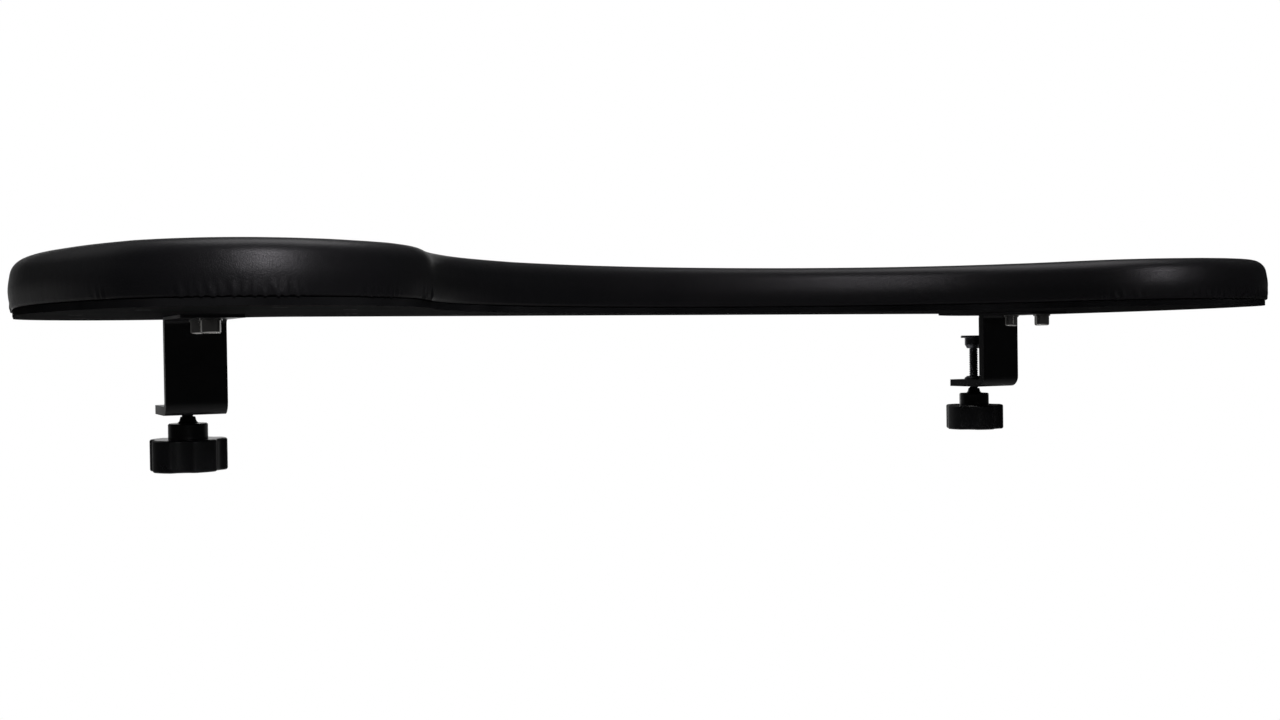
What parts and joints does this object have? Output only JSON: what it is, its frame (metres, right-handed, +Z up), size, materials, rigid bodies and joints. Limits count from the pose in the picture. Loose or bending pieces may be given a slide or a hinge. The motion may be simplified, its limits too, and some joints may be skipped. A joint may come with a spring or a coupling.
{
  "type": "desk-edge forearm rest pad",
  "caption": "Long padded forearm rest for a desk edge, with a belly recess, two wings, and screw clamps underneath with bent steel brackets and lobed hand knobs.",
  "frame": {"origin": "on the flat underside of the pad, above the front edge of the desk (the back faces of the bracket uprights), midway between the two clamps", "axes": "+X along the pad and the desk edge, +Y from the sitter towards the desk, +Z up out of the padded top"},
  "size_m": [0.7174, 0.2737, 0.1075],
  "materials": {
    "black_vinyl": "satin, fine leather grain",
    "foam": "open-cell foam",
    "plywood": "raw plywood",
    "black_hardboard": "black, satin",
    "black_steel_screws": "black oxide",
    "staple_wire": "bright wire",
    "black_powder_coat": "satin black powder coat",
    "nickel_plate": "polished nickel plate",
    "zinc_plate": "zinc plate",
    "blackened_steel": "blackened, slightly glossy",
    "knob_plastic": "moulded, semi-gloss",
    "brass_insert": "machined"
  },
  "bodies": {
    "pad": {"upholstery_cover": "black_vinyl", "foam_pad": "foam", "core_board": "plywood", "base_board": "black_hardboard", "base_screws": "black_steel_screws", "hem_staples": "staple_wire", "clamp_bracket_left": "black_powder_coat", "bracket_bolts_left": "nickel_plate", "bracket_washers_left": "nickel_plate", "insert_nuts_left": "zinc_plate", "threaded_bush_left": "blackened_steel", "clamp_bracket_right": "black_powder_coat", "bracket_bolts_right": "nickel_plate", "bracket_washers_right": "nickel_plate", "insert_nuts_right": "zinc_plate", "threaded_bush_right": "blackened_steel"},
    "foot_left": {"clamp_foot_left": "blackened_steel"},
    "knob_and_screw_left": {"clamp_screw_left": "blackened_steel", "knob_left": "knob_plastic", "knob_insert_left": "brass_insert"},
    "foot_right": {"clamp_foot_right": "blackened_steel"},
    "knob_and_screw_right": {"clamp_screw_right": "blackened_steel", "knob_right": "knob_plastic", "knob_insert_right": "brass_insert"}
  },
  "joints": [
    {"name": "foot_lift_left", "type": "slide", "parent": "pad", "child": "foot_left", "axis": [0, 0, 1], "range_m": [-0.01905, 0.00127]},
    {"name": "knob_turn_left", "type": "hinge", "parent": "foot_left", "child": "knob_and_screw_left", "pos_m": [-0.27, 0.0234, -0.05], "axis": [0, 0, 1], "range_deg": [-5401, 361]},
    {"name": "foot_lift_right", "type": "slide", "parent": "pad", "child": "foot_right", "axis": [0, 0, 1], "range_m": [-0.01905, 0.00127]},
    {"name": "knob_turn_right", "type": "hinge", "parent": "foot_right", "child": "knob_and_screw_right", "pos_m": [0.27, 0.0234, -0.05], "axis": [0, 0, 1], "range_deg": [-5401, 361]}
  ],
  "couplings": [
    {"joint": "knob_turn_left", "follows": "foot_lift_left", "rad_per_m": 4947.4},
    {"joint": "knob_turn_right", "follows": "foot_lift_right", "rad_per_m": 4947.4}
  ]
}
